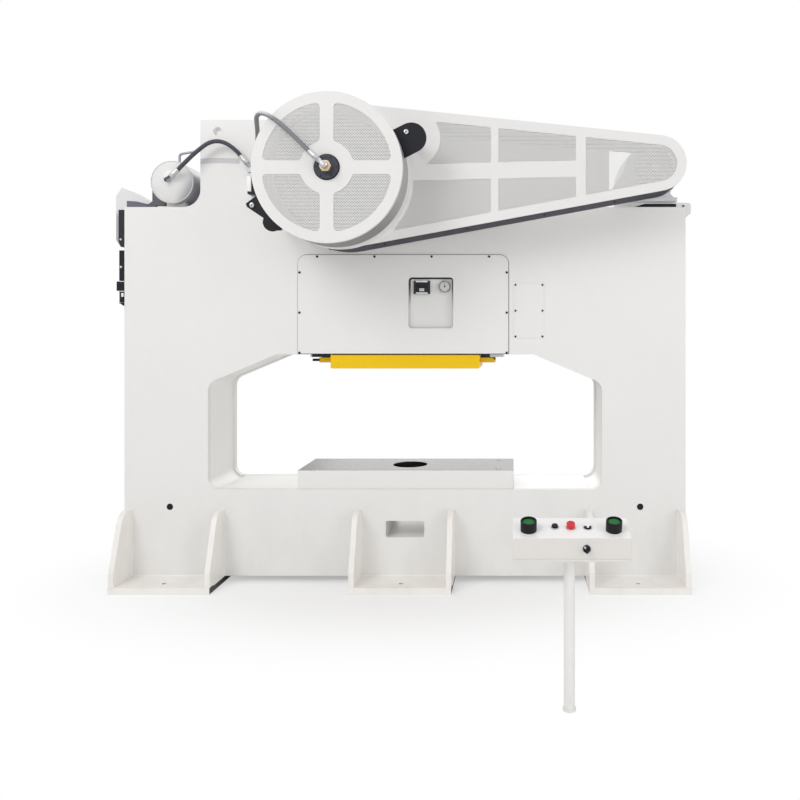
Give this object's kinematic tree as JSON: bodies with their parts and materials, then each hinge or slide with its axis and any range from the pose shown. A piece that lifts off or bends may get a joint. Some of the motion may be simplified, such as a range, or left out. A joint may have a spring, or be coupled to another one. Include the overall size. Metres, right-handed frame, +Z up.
{
  "type": "mechanical stamping press",
  "caption": "Straight welded press frame with a wide die window, a guarded belt-driven flywheel on top and a yellow ram plate, run from a two-hand console.",
  "frame": {"origin": "on the floor under the middle of the press frame", "axes": "+X along the machine to the right, +Y from the front to the back, +Z up"},
  "size_m": [3.44, 2.2333, 2.6918],
  "materials": {
    "frame_paint": "satin off-white machine enamel",
    "guard_paint": "satin white enamel",
    "mesh_paint": "fine perforated sheet, painted light grey",
    "ram_paint": "gloss safety yellow enamel",
    "motor_paint": "satin grey enamel on ribbed cast housing",
    "console_panel": "satin off-white panel with black collars",
    "cast_iron": "machined and oiled grey iron",
    "gear_steel": "cut and ground steel with an oil film",
    "machined_steel": "ground plate with a light grain",
    "bronze": "turned bronze bushes",
    "brass": "turned brass swivel",
    "black_parts": "black oxide and black enamel",
    "air_pipe": "bent steel air pipe, darkened",
    "belt_rubber": "matte wrapped V-belts",
    "hose_rubber": "dark rubber hose with woven cover",
    "counter_plastic": "black instrument case",
    "gauge_metal": "pressed steel gauge case with a white dial",
    "needle_black": "black pointer",
    "green_plastic": "moulded green palm button",
    "black_plastic": "moulded black switch head",
    "red_plastic": "moulded red mushroom button"
  },
  "bodies": {
    "frame": {"front_plate": "frame_paint", "back_plate": "frame_paint", "frame_walls": "frame_paint", "deck_plates": "frame_paint", "foot_plates": "frame_paint", "foot_gussets": "frame_paint", "window_liner_left": "frame_paint", "window_liner_right": "frame_paint", "bed_deck": "frame_paint", "scrap_chute": "frame_paint", "front_cover": "frame_paint", "small_covers": "frame_paint", "air_tank": "frame_paint", "tank_saddle": "frame_paint", "console_case": "frame_paint", "console_pole": "frame_paint", "motor_base": "frame_paint", "side_trunk": "frame_paint", "brake_housing": "frame_paint", "belt_guard": "guard_paint", "drum_face": "guard_paint", "guard_posts": "guard_paint", "guard_mesh": "mesh_paint", "drum_sleeve": "mesh_paint", "motor_frame": "motor_paint", "motor_covers": "motor_paint", "console_lid": "console_panel", "bolster": "machined_steel", "ram_gibs": "machined_steel", "tension_bracket": "machined_steel", "shaft_bearings": "bronze", "rotary_union": "brass", "fasteners": "black_parts", "drum_brackets": "black_parts", "air_filter": "black_parts", "clutch_valve": "black_parts", "air_line": "air_pipe", "v_belts": "belt_rubber", "tank_hose": "hose_rubber", "clutch_hose": "hose_rubber", "counter_window": "counter_plastic", "gauge_case": "gauge_metal"},
    "flywheel": {"flywheel": "cast_iron", "clutch_housing": "cast_iron"},
    "pinion_shaft": {"pinion_shaft": "gear_steel", "friction_discs": "gear_steel"},
    "crank": {"crank_shaft": "gear_steel", "bull_gear": "gear_steel"},
    "slide_block": {"slide_block": "cast_iron"},
    "ram": {"ram_body": "cast_iron", "ram_plate": "ram_paint"},
    "motor_rotor": {"motor_rotor": "gear_steel", "motor_pulley": "cast_iron"},
    "palm_left": {"palm_button_left": "green_plastic"},
    "palm_right": {"palm_button_right": "green_plastic"},
    "start_button": {"start_button": "black_plastic"},
    "stop_button": {"stop_button": "red_plastic"},
    "mode_selector": {"mode_selector": "black_plastic"},
    "key_selector": {"key_selector": "black_plastic"},
    "gauge_needle": {"gauge_needle": "needle_black"}
  },
  "joints": [
    {"name": "flywheel_spin", "type": "hinge", "parent": "frame", "child": "flywheel", "pos_m": [-0.307, -0.4, 2.277], "axis": [0, 1, 0], "continuous": true},
    {"name": "motor_spin", "type": "hinge", "parent": "frame", "child": "motor_rotor", "pos_m": [1.416, -0.1, 2.366], "axis": [0, 1, 0], "continuous": true},
    {"name": "crank_turn", "type": "hinge", "parent": "frame", "child": "crank", "pos_m": [0, 0, 2.02687], "axis": [0, 1, 0], "range_deg": [0, 180]},
    {"name": "pinion_turn", "type": "hinge", "parent": "frame", "child": "pinion_shaft", "pos_m": [-0.307, 0, 2.277], "axis": [0, 1, 0], "range_deg": [-701, 0]},
    {"name": "block_turn", "type": "hinge", "parent": "crank", "child": "slide_block", "pos_m": [0, 0, 2.05687], "axis": [0, 1, 0], "range_deg": [-180.5, 0]},
    {"name": "ram_slide", "type": "slide", "parent": "frame", "child": "ram", "axis": [0, 0, -1], "range_m": [0, 0.0601]},
    {"name": "palm_left_press", "type": "slide", "parent": "frame", "child": "palm_left", "axis": [0, 0.2811, -0.9597], "range_m": [0, 0.006], "stiffness_N_per_m": 1200, "springref_m": -0.004},
    {"name": "palm_right_press", "type": "slide", "parent": "frame", "child": "palm_right", "axis": [0, 0.2811, -0.9597], "range_m": [0, 0.006], "stiffness_N_per_m": 1200, "springref_m": -0.004},
    {"name": "start_press", "type": "slide", "parent": "frame", "child": "start_button", "axis": [0, 0.2811, -0.9597], "range_m": [0, 0.004], "stiffness_N_per_m": 800, "springref_m": -0.004},
    {"name": "stop_press", "type": "slide", "parent": "frame", "child": "stop_button", "axis": [0, 0.2811, -0.9597], "range_m": [0, 0.004], "stiffness_N_per_m": 800, "springref_m": -0.004},
    {"name": "mode_turn", "type": "hinge", "parent": "frame", "child": "mode_selector", "pos_m": [0.913, -1.703, 0.6965], "axis": [0, -0.2811, 0.9597], "range_deg": [-45, 45]},
    {"name": "key_turn", "type": "hinge", "parent": "frame", "child": "key_selector", "pos_m": [0.903, -1.773, 0.639], "axis": [0, -1, 0], "range_deg": [0, 90]},
    {"name": "needle_turn", "type": "hinge", "parent": "frame", "child": "gauge_needle", "pos_m": [0.229, -0.224, 1.71387], "axis": [0, 1, 0], "range_deg": [-135, 135]}
  ],
  "couplings": [
    {"joint": "motor_spin", "follows": "flywheel_spin", "ratio": 3.5263},
    {"joint": "pinion_turn", "follows": "crank_turn", "ratio": -3.8889},
    {"joint": "block_turn", "follows": "crank_turn", "ratio": -1},
    {"joint": "ram_slide", "follows": "crank_turn", "m_per_rad": 0.019099}
  ]
}
